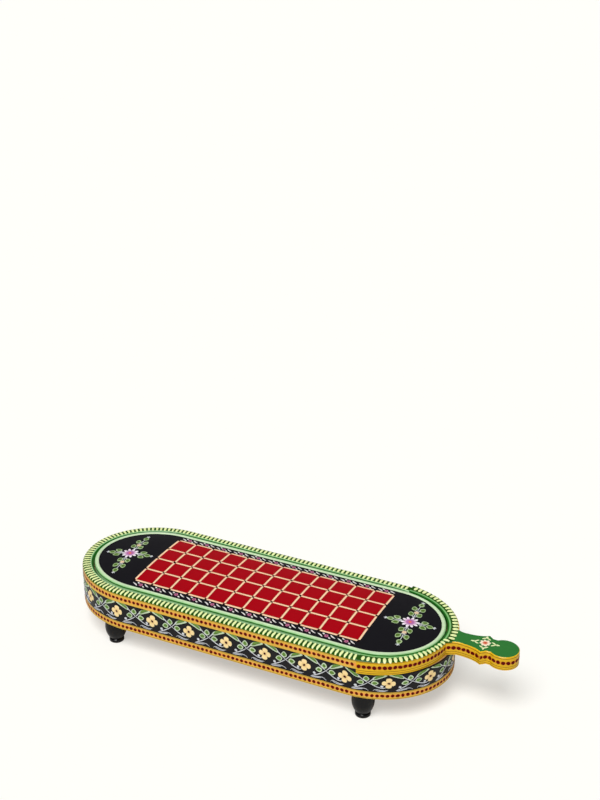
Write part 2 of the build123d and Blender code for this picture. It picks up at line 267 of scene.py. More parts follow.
SETTINGS = {
    "box_field": BoxFieldSettings,
    "box_spray": BoxSpraySettings,
    "box_vine": BoxVineSettings,
    "box_band": BoxBandSettings,
    "box_handle": BoxHandleSettings,
    "box_finish": BoxFinishSettings,
    "box_stage": BoxStageSettings,
}


def in_mm(settings, *names):
    """Lengths of a group of settings, in millimetres."""
    return [getattr(settings, name) / MM for name in names]


def new_object(name, data):
    """Object with its data, put into the scene."""
    made = bpy.data.objects.new(name, data)
    bpy.context.scene.collection.objects.link(made)
    return made


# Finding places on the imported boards


class Track:
    """Line round a board in plan, with its length counted along it, in millimetres."""

    def __init__(self, points):
        self.points = points
        self.runs = [(b - a).length for a, b in zip(points, points[1:])]
        self.starts = [0.0]
        for run in self.runs:
            self.starts.append(self.starts[-1] + run)
        self.total = self.starts[-1]
        sides = [(b - a).normalized() for a, b in zip(points, points[1:])]
        closed = (points[0] - points[-1]).length < 1
        before = [sides[-1] if closed else sides[0]] + sides
        after = sides + [sides[0] if closed else sides[-1]]
        self.sides = [(a + b).normalized() for a, b in zip(before, after)]
        self.last = 0

    def at(self, way):
        """Point and outward direction at a way along the line."""
        way = min(max(way, 0.0), self.total - 1e-6)
        i = self.last if self.starts[self.last] <= way else 0
        while self.starts[i + 1] <= way:
            i += 1
        self.last = i
        part = (way - self.starts[i]) / self.runs[i]
        side = self.sides[i].lerp(self.sides[i + 1], part).normalized()
        return self.points[i].lerp(self.points[i + 1], part), Vector((side.y, -side.x))


def outline(node, height):
    """Outline of a board at a height, in millimetres: points that run once round it, counter-clockwise."""
    bm = bmesh.new()
    bm.from_mesh(NODES[node].data)
    bmesh.ops.remove_doubles(bm, verts=bm.verts, dist=1e-6)
    geometry = bm.verts[:] + bm.edges[:] + bm.faces[:]
    level = {"plane_co": (0, 0, height * MM), "plane_no": (0, 0, 1)}
    cut = bmesh.ops.bisect_plane(bm, geom=geometry, **level)["geom_cut"]
    edges = {e for e in cut if isinstance(e, bmesh.types.BMEdge)}
    loops = []
    while edges:
        edge = edges.pop()
        loop = [edge.verts[0], edge.verts[1]]
        while loop[-1] != loop[0]:
            edge = next((e for e in loop[-1].link_edges if e in edges), None)
            if edge is None:
                raise RuntimeError(f"the outline of {node} does not close")
            edges.remove(edge)
            loop.append(edge.other_vert(loop[-1]))
        loops.append([v.co.xy / MM for v in loop])
    bm.free()
    longest = max(loops, key=lambda points: sum((b - a).length for a, b in zip(points, points[1:])))
    area = sum(a.x * b.y - b.x * a.y for a, b in zip(longest, longest[1:]))
    return longest if area > 0 else longest[::-1]


def from_left_tip(points):
    """The same closed outline, started at its left tip."""
    points = points[:-1]
    start = min(range(len(points)), key=lambda i: points[i].x + abs(points[i].y) * 0.001)
    turned = points[start:] + points[:start]
    return turned + turned[:1]


def surface(*names):
    """Search tree of the surfaces of some boards."""
    points, faces = [], []
    for name in names:
        mesh = NODES[name].data
        first = len(points)
        points += [v.co for v in mesh.vertices]
        faces += [[first + i for i in p.vertices] for p in mesh.polygons]
    return BVHTree.FromPolygons(points, faces)


def find(tree, start, direction):
    """Point and outward direction where a probe meets a surface."""
    point, normal, _, _ = tree.ray_cast(start, direction, 3 * PROBE)
    if point is None:
        raise RuntimeError(f"no surface at {tuple(round(v / MM, 1) for v in start)} mm")
    return point, normal if normal.dot(direction) < 0 else -normal



def onto_top(tree):
    """Places a point (x from the middle of the case, y) on the top of some boards."""
    return lambda x, y: find(tree, Vector(((CASE_X + x) * MM, y * MM, ABOVE)), DOWN)


def onto_rim(tree, track):
    """Places a point (way along the outline, distance in from it) on the top of some boards."""

    def placed(way, inset):
        point, outward = track.at(way % track.total)
        spot = (point - outward * inset) * MM
        return find(tree, Vector((spot.x, spot.y, ABOVE)), DOWN)

    return placed


def onto_side(tree, track):
    """Places a point (way along the outline, height) on the side of some boards."""

    def placed(way, height):
        point, outward = track.at(way % track.total)
        spot = (point * MM + outward * PROBE).to_3d() + Vector((0, 0, height * MM))
        return find(tree, spot, -outward.to_3d())

    return placed


# Painted shapes


def off(at, turn, along, across=0.0):
    """Place that lies so far along and across a direction from a point."""
    cos_turn, sin_turn = math.cos(turn), math.sin(turn)
    return (at[0] + along * cos_turn - across * sin_turn, at[1] + along * sin_turn + across * cos_turn)


class Brush:
    """One colour of paint. Its dabs and lines are drawn flat, in millimetres, and then laid on the wood."""

    # Heights, as shares of the paint's relief: how uneven strokes are, how far edges slope, the underside
    UNEVEN, DAB_SLOPE, LINE_SLOPE, PATCH_EDGE, UNDERSIDE = 0.15, 0.55, 0.5, 0.6, -0.3
    SHARP_FROM = math.radians(40)

    def __init__(self, seed=1):
        self.bm = bmesh.new()
        self.along = self.bm.verts.layers.float.new("along")
        self.random = random.Random(seed)

    def dab(
        self, at, size, width, turn=0.0, point=1.0, fat=0.0, bend=0.0,
        base=0.0, high=1.0, segments=12, loose=0.04,
    ):
        """Closed dab of paint from its base at a point along a direction.

        point above 1 sharpens both ends, fat widens the base, bend curves it, and base is the share of
        the length that lies behind the point."""
        circle = bmesh.ops.create_circle(self.bm, cap_ends=True, cap_tris=True, segments=segments, radius=1.0)
        size *= 1 + self.random.uniform(-loose, loose)
        width *= 1 + self.random.uniform(-loose, loose)
        turn += self.random.uniform(-loose, loose)
        lift = high + self.random.uniform(0, self.UNEVEN)
        for vert in circle["verts"]:
            x, y = vert.co.x, vert.co.y
            edge = min(math.hypot(x, y), 1.0)
            part = (x + 1) / 2
            vert[self.along] = part
            across = math.copysign(abs(y) ** point, y) * width / 2 * (1 - fat * x)
            along = (part - base) * size
            across += bend * size * part * part
            vert.co = (*off(at, turn, along, across), lift * (1 - self.DAB_SLOPE * edge))

    def dot(self, at, size, squareness=0.0, high=1.0, segments=8):
        """Round or slightly square dot."""
        turn = self.random.uniform(0, math.pi)
        wide = size * (1 + squareness)
        self.dab(at, size, wide, turn, 1 - squareness, base=0.5, high=high, segments=segments, loose=0.1)

    def line(self, points, width, high=1.0, pieces=8, tips=0.35):
        """Brush line through the bends that the points give, thinner at its tips."""
        grid = bmesh.ops.create_grid(self.bm, x_segments=pieces, y_segments=2, size=1.0)
        lift = high + self.random.uniform(0, self.UNEVEN)
        for vert in grid["verts"]:
            part, side = (vert.co.x + 1) / 2, vert.co.y
            here = bend_through(points, part)
            step = bend_through(points, min(part + 0.01, 1.0)) - bend_through(points, max(part - 0.01, 0.0))
            step.normalize()
            reach = width / 2 * (tips + (1 - tips) * math.sin(math.pi * part) ** 0.6) * side
            vert[self.along] = part
            vert.co = (
                here.x - step.y * reach,
                here.y + step.x * reach,
                lift * (1 - self.LINE_SLOPE * abs(side)),
            )

    def patch(self, low, far, high=1.0, wobble=0.0):
        """Rectangle of paint between two corners, with wavering edges."""
        for vert in bmesh.ops.create_grid(self.bm, x_segments=4, y_segments=4, size=1.0)["verts"]:
            x, y = (vert.co.x + 1) / 2, (vert.co.y + 1) / 2
            waver = Vector((self.random.uniform(-wobble, wobble), self.random.uniform(-wobble, wobble)))
            inner = 0 < x < 1 and 0 < y < 1
            vert[self.along] = x
            vert.co = (
                low[0] + (far[0] - low[0]) * x + waver.x,
                low[1] + (far[1] - low[1]) * y + waver.y,
                high if inner else self.PATCH_EDGE * high,
            )

    def lay(self, name, placed, material, body, slot):
        """Gives the paint its underside, lays it on the wood and makes it a piece."""
        relief = bpy.context.scene.box_finish.relief
        under = bmesh.ops.extrude_face_region(self.bm, geom=self.bm.faces[:])["geom"]
        for vert in under:
            if isinstance(vert, bmesh.types.BMVert):
                vert.co.z = self.UNDERSIDE
        for vert in self.bm.verts:
            point, normal = placed(vert.co.x, vert.co.y)
            vert.co = point + normal * (vert.co.z * relief)
        bmesh.ops.remove_doubles(self.bm, verts=self.bm.verts, dist=1e-7)
        bmesh.ops.recalc_face_normals(self.bm, faces=self.bm.faces)
        mesh = bpy.data.meshes.new(name)
        self.bm.to_mesh(mesh)
        self.bm.free()
        mesh.shade_smooth()
        mesh.set_sharp_from_angle(angle=self.SHARP_FROM)
        mesh.materials.append(material)
        piece = new_object(name, mesh)
        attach(piece, body)


def lay_paints(spot, body, slot, *paints):
    """Lays several brushes on the wood, each with the name of its piece and its paint."""
    for brush, name, material in paints:
        brush.lay(name, spot, material, body, slot)


def bend_through(points, part):
    """Point at a share of the smooth line that the control points give."""
    row = [Vector(p) for p in points]
    while len(row) > 1:
        row = [a.lerp(b, part) for a, b in zip(row, row[1:])]
    return row[0]


# Materials


class Nodes:
    """Short way to add and link nodes in one tree."""

    def __init__(self, tree):
        self.tree = tree

    def link(self, value, socket):
        if isinstance(value, bpy.types.NodeSocket):
            self.tree.links.new(value, socket)
        elif socket.type == "RGBA":
            socket.default_value = (*value, 1.0)[:4]
        else:
            socket.default_value = value

    def add(self, kind, inputs=None, **settings):
        node = self.tree.nodes.new(kind)
        for key, value in settings.items():
            setattr(node, key, value)
        for key, value in (inputs or {}).items():
            self.link(value, node.inputs[key])
        return node

    def math(self, operation, a, b=0.0, c=0.0):
        return self.add("ShaderNodeMath", {0: a, 1: b, 2: c}, operation=operation).outputs[0]

    def mix(self, factor, a, b, blend="MIX"):
        node = self.add("ShaderNodeMix", data_type="RGBA", blend_type=blend)
        self.link(factor, node.inputs[0])
        self.link(a, node.inputs[6])
        self.link(b, node.inputs[7])
        return node.outputs[2]

    def layers(self, ground, *coats):
        """Paints laid over a ground, each given as (where, colour)."""
        for where, coat in coats:
            ground = self.mix(where, ground, coat)
        return ground

    def blend(self, a, part, b, other):
        """So much of one value and so much of another."""
        return self.math("ADD", self.math("MULTIPLY", a, part), self.math("MULTIPLY", b, other))

    def swing(self, noise, amount):
        """A noise that swings about 0 instead of 0.5."""
        return self.math("MULTIPLY", self.math("SUBTRACT", noise, 0.5), amount)

    def ramp(self, value, low, high):
        """0 below the low end, 1 above the high end and even between them."""
        inputs = {"Value": value, "From Min": low, "From Max": high}
        return self.add("ShaderNodeMapRange", inputs, clamp=True).outputs["Result"]

    def above(self, value, edge, soft=0.08):
        """1 where the value is above the edge and 0 below it."""
        return self.ramp(value, edge - soft, edge + soft)

    def between(self, value, low, high, soft=0.08):
        """1 between two edges and 0 outside them."""
        below = self.math("SUBTRACT", 1.0, self.above(value, high, soft))
        return self.math("MULTIPLY", self.above(value, low, soft), below)

    def step(self, value, edge, below, over, soft=0.08):
        """One paint below the edge and another over it."""
        return self.mix(self.above(value, edge, soft), below, over)

    def in_any(self, value, spans):
        """1 within any of the spans and 0 elsewhere."""
        found = self.between(value, *spans[0])
        for span in spans[1:]:
            found = self.math("MAXIMUM", found, self.between(value, *span))
        return found

    def vector_math(self, operation, *values):
        return self.add("ShaderNodeVectorMath", dict(enumerate(values)), operation=operation).outputs

    def bump(self, strength, distance, height, shader):
        """Relief of a shader from a height."""
        relief = self.add("ShaderNodeBump", {"Strength": strength, "Distance": distance, "Height": height})
        self.link(relief.outputs["Normal"], shader.inputs["Normal"])

    def noise(self, vector, scale, detail=2.0, roughness=0.5):
        inputs = {"Vector": vector, "Scale": scale, "Detail": detail, "Roughness": roughness}
        return self.add("ShaderNodeTexNoise", inputs).outputs["Fac"]

    def stretched(self, vector, scale):
        return self.add("ShaderNodeMapping", {"Vector": vector, "Scale": scale}).outputs["Vector"]

    def group(self, tree, inputs):
        node = self.add("ShaderNodeGroup")
        node.node_tree = tree
        for key, value in inputs.items():
            self.link(value, node.inputs[key])
        return node


def new_group(name, inputs, outputs):
    """Empty shader group with the sockets given as (name, kind, default)."""
    tree = bpy.data.node_groups.new(name, "ShaderNodeTree")
    for label, kind, default in inputs:
        socket = tree.interface.new_socket(label, in_out="INPUT", socket_type=f"NodeSocket{kind}")
        if default is not None:
            socket.default_value = default
    for label, kind in outputs:
        tree.interface.new_socket(label, in_out="OUTPUT", socket_type=f"NodeSocket{kind}")
    nodes = Nodes(tree)
    return nodes, nodes.add("NodeGroupInput").outputs, nodes.add("NodeGroupOutput").inputs


def made_once(build):
    """Makes a shader group at its first use and hands out the same one after that."""
    return lambda: bpy.data.node_groups.get(build.__name__) or build(build.__name__)


@made_once
def brushed_paint(name):
    """Paint put on by hand: slow changes of tone, streaks along the length and fine pigment."""
    nodes, given, out = new_group(
        name,
        [
            ("Vector", "Vector", None),
            ("Paint", "Color", None),
            ("Streaks", "Float", 0.5),
            ("Roughness", "Float", 0.4),
        ],
        [("Colour", "Color"), ("Roughness", "Float"), ("Height", "Float")],
    )
    vector, ground = given["Vector"], given["Paint"]
    cloud = nodes.noise(vector, 55.0, 3.0)
    streak = nodes.noise(nodes.stretched(vector, (30.0, 420.0, 420.0)), 1.0, 3.0, 0.6)
    pigment = nodes.noise(vector, 2600.0, 1.0)
    thin = nodes.ramp(nodes.blend(streak, 0.55, cloud, 0.45), 0.36, 0.66)
    thin = nodes.math("MULTIPLY", thin, given["Streaks"])
    inputs = {"Value": 0.78, "Saturation": 1.05, "Color": ground}
    darker = nodes.add("ShaderNodeHueSaturation", inputs).outputs["Color"]
    speck = nodes.math("MULTIPLY_ADD", pigment, 0.1, 0.95)
    speckled = nodes.add("ShaderNodeCombineColor", {0: speck, 1: speck, 2: speck}).outputs[0]
    nodes.link(nodes.mix(1.0, nodes.mix(thin, ground, darker), speckled, "MULTIPLY"), out["Colour"])
    nodes.link(nodes.math("ADD", given["Roughness"], nodes.swing(cloud, 0.22)), out["Roughness"])
    nodes.link(nodes.blend(streak, 0.8, pigment, 0.2), out["Height"])
    return nodes.tree


@made_once
def case_place(name):
    """Where a point lies, in millimetres: in from the case's outline, out from the field's right end, its
    height and its place along the case. All but the last waver a little, as hand-painted borders do."""
    nodes, given, out = new_group(
        name,
        [("Vector", "Vector", None), ("Waver", "Float", 0.3)],
        [("Inset", "Float"), ("Out", "Float"), ("Height", "Float"), ("Along", "Float")],
    )
    split = nodes.add("ShaderNodeSeparateXYZ", {0: given["Vector"]}).outputs
    along = nodes.math("SUBTRACT", nodes.math("DIVIDE", split["X"], MM), CASE_X)
    across = nodes.math("ABSOLUTE", nodes.math("DIVIDE", split["Y"], MM))

    def beyond(way, start, reach, half):
        """How far a point lies beyond an outline with straight sides and a rounded end that starts at start."""
        past = nodes.math("MAXIMUM", nodes.math("SUBTRACT", way, start), 0.0)
        span = nodes.add("ShaderNodeCombineXYZ", {0: past, 1: across}).outputs[0]
        parts = nodes.vector_math("MULTIPLY", span, (1 / reach, 1 / half, 1.0))[0]
        far = nodes.vector_math("LENGTH", span)["Value"]
        part = nodes.vector_math("LENGTH", parts)["Value"]
        return nodes.math("SUBTRACT", far, nodes.math("DIVIDE", far, nodes.math("MAXIMUM", part, 0.001)))

    inside = beyond(nodes.math("ABSOLUTE", along), HALF_STRAIGHT, END_REACH, HALF_WIDTH)
    outside = beyond(along, FIELD_END_X, FIELD_END_REACH, FIELD_HALF)
    wave = nodes.swing(nodes.noise(given["Vector"], 110.0, 2.0), given["Waver"])
    nodes.link(nodes.math("ADD", nodes.math("MULTIPLY", inside, -1.0), wave), out["Inset"])
    nodes.link(nodes.math("ADD", outside, wave), out["Out"])
    nodes.link(nodes.math("ADD", nodes.math("DIVIDE", split["Z"], MM), wave), out["Height"])
    nodes.link(along, out["Along"])
    return nodes.tree


@made_once
def planed_wood(name):
    """Planed bare wood with its grain along the length."""
    nodes, given, out = new_group(
        name,
        [("Vector", "Vector", None), ("Light", "Color", None), ("Dark", "Color", None)],
        [("Colour", "Color"), ("Height", "Float")],
    )
    rings = nodes.noise(nodes.stretched(given["Vector"], (6.0, 130.0, 130.0)), 1.0, 4.0, 0.6)
    pores = nodes.noise(nodes.stretched(given["Vector"], (90.0, 1500.0, 1500.0)), 1.0, 2.0)
    bands = nodes.math("FRACT", nodes.math("MULTIPLY", rings, 7.0))
    bands = nodes.math("ABSOLUTE", nodes.math("SUBTRACT", nodes.math("MULTIPLY", bands, 2.0), 1.0))
    nodes.link(nodes.mix(nodes.blend(bands, 0.6, pores, 0.4), given["Light"], given["Dark"]), out["Colour"])
    nodes.link(nodes.blend(bands, 0.3, pores, 0.7), out["Height"])
    return nodes.tree


def new_material(name):
    """Material with its nodes, the Object coordinates and a shader that is still plain."""
    material = bpy.data.materials.new(name)
    material.use_nodes = True
    material.node_tree.nodes.clear()
    nodes = Nodes(material.node_tree)
    vector = nodes.add("ShaderNodeTexCoord").outputs["Object"]
    shader = nodes.add("ShaderNodeBsdfPrincipled")
    output = nodes.add("ShaderNodeOutputMaterial")
    nodes.link(shader.outputs[0], output.inputs["Surface"])
    return material, nodes, vector, shader


def finish_paint(nodes, vector, shader, ground, roughness=0.42, streaks=None, coat=None):
    """Lacquered paint of one colour, or of the colours that a mask has mixed."""
    finish = bpy.context.scene.box_finish
    streaks = finish.streaks if streaks is None else streaks
    inputs = {"Vector": vector, "Paint": ground, "Streaks": streaks, "Roughness": roughness}
    brushed = nodes.group(brushed_paint(), inputs).outputs
    nodes.link(brushed["Colour"], shader.inputs["Base Color"])
    nodes.link(brushed["Roughness"], shader.inputs["Roughness"])
    shader.inputs["Specular IOR Level"].default_value = finish.sheen
    shader.inputs["Coat Weight"].default_value = finish.coat if coat is None else coat
    shader.inputs["Coat Roughness"].default_value = finish.coat_roughness
    nodes.bump(0.25, 0.0002, brushed["Height"], shader)


def paint(name, colours, roughness=0.42, low=0.25, high=0.75, **more):
    """Paint of one colour, or of two that blend from the base of each dab to its tip."""
    material, nodes, vector, shader = new_material(name)
    ground = colours[0]
    if len(colours) == 2:
        along = nodes.add("ShaderNodeAttribute", attribute_name="along").outputs["Fac"]
        ground = nodes.mix(nodes.ramp(along, low, high), *colours)
    finish_paint(nodes, vector, shader, ground, roughness, **more)
    return material


def bare_wood(nodes, vector):
    finish = bpy.context.scene.box_finish
    inputs = {"Vector": vector, "Light": finish.wood_light, "Dark": finish.wood_dark}
    return nodes.group(planed_wood(), inputs).outputs


def plain_wood(name):
    """Bare planed wood."""
    material, nodes, vector, shader = new_material(name)
    wood = bare_wood(nodes, vector)
    nodes.link(wood["Colour"], shader.inputs["Base Color"])
    shader.inputs["Roughness"].default_value = 0.62
    nodes.bump(0.3, 0.0003, wood["Height"], shader)
    return material


def banded(name, choose, roughness=0.42, waver=0.3, **more):
    """Material of a board of the case, whose colours choose mixes from where a point lies."""
    material, nodes, vector, shader = new_material(name)
    where = nodes.group(case_place(), {"Vector": vector, "Waver": waver}).outputs
    ground = choose(nodes, where, bare_wood(nodes, vector)["Colour"])
    finish_paint(nodes, vector, shader, ground, roughness, **more)
    return material


def striped(nodes, height, stripe, lines, paints, soft=0.6):
    """A band of the first paint, with a stripe of the second and thin lines of the third."""
    ground, middle, thin = paints
    stripe = nodes.between(height, *stripe, soft)
    return nodes.layers(ground, (stripe, middle), (nodes.in_any(height, lines), thin))


def boards(*starts):
    """Names of the CAD nodes that start so."""
    names = [name for name in NODES if name.startswith(starts)]
    if not names:
        raise RuntimeError(f"no board's name starts with {' or '.join(starts)}")
    return names


def dress(material, *names):
    """Gives a material to CAD nodes."""
    for name in names:
        NODES[name].material_slots[0].material = material


class BoxOperator:
    """What every step of the painting shares."""

    bl_options = {"REGISTER", "UNDO"}


class FinishCase(BoxOperator, bpy.types.Operator):
    """Paints the floor board, walls, rails and rims of the case"""

    bl_idname = "gamebox.finish_case"
    bl_label = "Finish case"

    def execute(self, context):
        band, black = context.scene.box_band, context.scene.box_finish.wall_black
        yellows = (band.gold, band.orange, band.gold_line)
        lower_top, upper_bottom, upper_top = in_mm(band, "lower_top", "upper_bottom", "upper_top")

        def floor_colours(nodes, at, wood):
            side = striped(nodes, at["Height"], LOWER_STRIPE, LOWER_LINES, yellows)
            side = nodes.step(at["Height"], lower_top, side, black)
            return nodes.step(at["Inset"], FLOOR_PAINT_IN, side, wood)

        def wall_colours(nodes, at, wood):
            return nodes.step(at["Inset"], WALL_PAINT_IN, black, wood)

        def rail_colours(nodes, at, wood):
            side = nodes.step(at["Height"], upper_bottom, black, band.gold)
            return nodes.step(at["Inset"], WALL_PAINT_IN, side, wood)

        def rim_colours(nodes, at, wood):
            height, inset = at["Height"], at["Inset"]
            side = striped(nodes, height, UPPER_STRIPE, UPPER_LINES, yellows)
            side = nodes.step(height, upper_top, side, band.strip_green)
            slope = (nodes.above(inset, RIM_STRIP_IN, 0.3), band.slope_green)
            groove = (nodes.above(inset, RIM_SLOPE_IN, 0.3), band.groove_green)
            top = nodes.layers(band.strip_green, slope, groove)
            return nodes.step(inset, RIM_SIDE_IN, side, top, 0.1)

        dress(banded("lower_band_paint", floor_colours), "floor_board")
        walls = ("wall_near", "wall_far", "wall_end_left", "wall_end_right")
        rails = ("channel_rail_near", "channel_rail_far", "channel_rail_left")
        dress(banded("black_wall_paint", wall_colours, 0.45), *walls)
        dress(banded("rail_paint", rail_colours), *rails)
        dress(banded("rim_paint", rim_colours), *RIMS)
        dress(plain_wood("planed_wood"), "divider_left", "divider_right")
        return {"FINISHED"}


class FinishFeet(BoxOperator, bpy.types.Operator):
    """Lacquers the four turned feet"""

    bl_idname = "gamebox.finish_feet"
    bl_label = "Finish feet"

    def execute(self, context):
        black = context.scene.box_finish.foot_black

        def colours(nodes, at, wood):
            return nodes.step(at["Height"], 0.25, wood, black, 0.2)

        feet = ("foot_near_left", "foot_near_right", "foot_far_left", "foot_far_right")
        dress(banded("foot_lacquer", colours, 0.38), *feet)
        return {"FINISHED"}


class FinishLid(BoxOperator, bpy.types.Operator):
    """Paints the lid board, the field, the beads and the end board with the handle"""

    bl_idname = "gamebox.finish_lid"
    bl_label = "Finish lid"

    def execute(self, context):
        scene = context.scene
        band, field, handle = scene.box_band, scene.box_field, scene.box_handle
        yellows = (band.lid_gold, band.lid_orange, band.lid_line)
        top = PULL_HIGH.z

        def bead_colours(nodes, at, wood):
            right = nodes.above(at["Along"], 0.0, 0.5)
            from_case = nodes.math("SUBTRACT", HALF_WIDTH - FIELD_HALF, at["Inset"])
            out = nodes.mix(right, from_case, at["Out"])
            side = nodes.step(at["Height"], BEAD_SLOPE, band.slope_green, band.groove_green, 0.3)
            outer = nodes.step(out, BEAD_OUT, band.bead_green, side, 0.2)
            return nodes.step(out, MINT_OUT, band.mint, outer, 1.1)

        def pull_colours(nodes, at, wood):
            height, out = at["Height"], at["Out"]
            side = striped(nodes, height, LID_STRIPE, LID_LINES, yellows, 0.7)
            handle_top = nodes.step(height, top - HANDLE_EDGE_DOWN, side, handle.green, 0.1)
            end_top = nodes.step(out, STRIP_FULL_OUT, band.bead_green, band.strip_green, 0.6)
            end_top = nodes.step(out, STRIP_OUT, band.groove_green, end_top, 0.3)
            end_top = nodes.step(height, top - END_EDGE_DOWN, side, end_top)
            end_top = nodes.step(out, GROOVE_OUT, band.groove_green, end_top)
            return nodes.step(at["Inset"], HANDLE_IN, handle_top, end_top)

        dress(plain_wood("lid_wood"), "lid_board", "lid_pegs")
        dress(paint("field_lacquer", [field.black], 0.4, streaks=0.3), "playing_panel")
        dress(banded("bead_paint", bead_colours), "bead_near", "bead_far", "bead_left", "bead_right")
        dress(banded("pull_board_paint", pull_colours, waver=0.1), "pull_board")
        return {"FINISHED"}


class FinishPlayingPieces(BoxOperator, bpy.types.Operator):
    """Lacquers the counters and paints the throwing sticks"""

    bl_idname = "gamebox.finish_playing_pieces"
    bl_label = "Finish counters and sticks"

    def execute(self, context):
        finish = context.scene.box_finish
        base = FLOOR_HIGH.z

        def turned(ground, ring):
            def colours(nodes, at, wood):
                rings = [(base + low, base + high) for low, high in COUNTER_RINGS]
                return nodes.mix(nodes.in_any(at["Height"], rings), ground, ring)

            return colours

        def stick_colours(nodes, at, wood):
            rings = nodes.in_any(nodes.math("ABSOLUTE", at["Along"]), STICK_RINGS)
            painted = nodes.mix(rings, finish.stick_ivory, srgb(150, 20, 22))
            return nodes.step(at["Height"], base + 0.25, wood, painted, 0.15)

        yellow = turned(finish.counter_yellow, srgb(120, 40, 14))
        green = turned(finish.counter_green, srgb(220, 214, 150))
        dress(banded("yellow_counter_lacquer", yellow, 0.28, waver=0.05), *boards("counter_yellow"))
        dress(banded("green_counter_lacquer", green, 0.28, waver=0.05), *boards("counter_green"))
        dress(banded("stick_paint", stick_colours, waver=0.2), *boards("throwing_stick"))
        return {"FINISHED"}


class PaintSquares(BoxOperator, bpy.types.Operator):
    """Paints the red squares, the lines and the dots of the playing grid"""

    bl_idname = "gamebox.paint_squares"
    bl_label = "Paint grid"

    def execute(self, context):
        field = context.scene.box_field
        start, end, half, middle, line, edge = in_mm(field, "start", "end", "half", "offset", "line", "edge")
        columns = [start + (end - start) * i / field.columns for i in range(field.columns + 1)]
        rows = [middle - half + 2 * half * j / field.rows for j in range(field.rows + 1)]
        squares, lines, dots = Brush(11), Brush(12), Brush(13)
        gap, overlap = line / 2 + edge, 0.6
        for x0, x1 in zip(columns, columns[1:]):
            for y0, y1 in zip(rows, rows[1:]):
                squares.patch((x0 + gap, y0 + gap), (x1 - gap, y1 - gap), high=0.7, wobble=0.06)
        for x in columns:
            for y0, y1 in zip(rows, rows[1:]):
                lines.line([(x, y0 - overlap), (x, y1 + overlap)], line, tips=0.92, pieces=6)
        for y in rows:
            for x0, x1 in zip(columns, columns[1:]):
                lines.line([(x0 - overlap, y), (x1 + overlap, y)], line, tips=0.92, pieces=4)
        for x in columns:
            for y in rows:
                dots.dot((x, y), 3.5, squareness=0.2, high=1.5)
        lay_paints(
            onto_top(surface("playing_panel")), "lid", "field_lacquer",
            (squares, "red_squares", paint("square_red_paint", [field.red], 0.38, streaks=0.35)),
            (lines, "grid_lines", paint("line_cream_paint", [field.cream], 0.45)),
            (dots, "crossing_dots", paint("crossing_dot_paint", [field.maroon], 0.5, coat=0.1)),
        )
        return {"FINISHED"}


class PaintBorder(BoxOperator, bpy.types.Operator):
    """Paints the row of small flowers with leaves on each side of the grid"""

    bl_idname = "gamebox.paint_border"
    bl_label = "Paint grid border"

    # Leaves of a flower: way along and across, length, width, lean, point, bend and segments
    LEAVES = ((3.7, 3.3, 8.0, 1.7, -0.85, 1.3, 0.34, 12), (2.9, -1.6, 3.6, 1.9, -0.5, 1.2, 0.0, 8))

    def execute(self, context):
        field = context.scene.box_field
        start, end, half, middle = in_mm(field, "start", "end", "half", "offset")
        flowers, hearts, leaves = Brush(21), Brush(22), Brush(23)
        for i in range(field.columns):
            x = start + (end - start) * (i + 0.5) / field.columns
            for side in (-1, 1):
                edge = middle + side * half
                y = edge + (side * FIELD_HALF - edge) * 0.52
                for k in range(5):
                    flowers.dab((x, y), 2.6, 2.0, math.tau * k / 5, fat=-0.3, high=1.1, segments=8)
                hearts.dot((x, y), 1.5, high=1.6, segments=6)
                for way in (-1, 1):
                    facing = 0.0 if way > 0 else math.pi
                    for along, across, size, width, lean, point, bend, segments in self.LEAVES:
                        foot, turn = (x + way * along, y + way * across), facing + lean
                        leaves.dab(foot, size, width, turn, point, bend=bend, segments=segments)
        lay_paints(
            onto_top(surface("playing_panel")), "lid", "field_lacquer",
            (flowers, "border_flowers", paint("border_rose_paint", [field.rose])),
            (hearts, "border_flower_hearts", paint("border_heart_paint", [field.maroon])),
            (leaves, "border_leaves", paint("border_white_paint", [field.white])),
        )
        return {"FINISHED"}


class LeafBrushes:
    """Brushes for leaves with a pale edge, a green inside and a dark vein, and for their stems."""

    def __init__(self, seed):
        self.edges, self.insides, self.veins, self.stems = (Brush(seed + i) for i in range(4))

    def leaf(self, at, size, width, turn, bend=0.0, fat=0.25, point=1.3, rim=0.72):
        """One leaf from its foot along a direction."""
        self.edges.dab(at, size, width, turn, point, fat, bend, loose=0.0, segments=16)
        foot = off(at, turn, (1 - rim) * 0.5 * size)
        inside = (foot, size * rim, width * rim, turn, point, fat, bend * rim)
        self.insides.dab(*inside, high=1.35, loose=0.0, segments=14)
        end = off(at, turn, size * (rim + (1 - rim) * 0.5) * 0.9, bend * size * 0.6)
        middle = ((foot[0] + end[0]) / 2, (foot[1] + end[1]) / 2)
        self.veins.line([foot, middle, end], width * 0.13, high=1.75, pieces=4, tips=0.3)

    def lay(self, prefix, spot, edge, inside, body, slot):
        vine = bpy.context.scene.box_vine
        for brush, piece, part, shade in (
            (self.edges, "leaf_edges", "leaf_edge", edge),
            (self.insides, "leaves", "leaf", inside),
            (self.veins, "leaf_veins", "leaf_vein", vine.vein),
            (self.stems, "stems", "stem", vine.stem_grey),
        ):
            brush.lay(f"{prefix}_{piece}", spot, paint(f"{prefix}_{part}_paint", [shade]), body, slot)


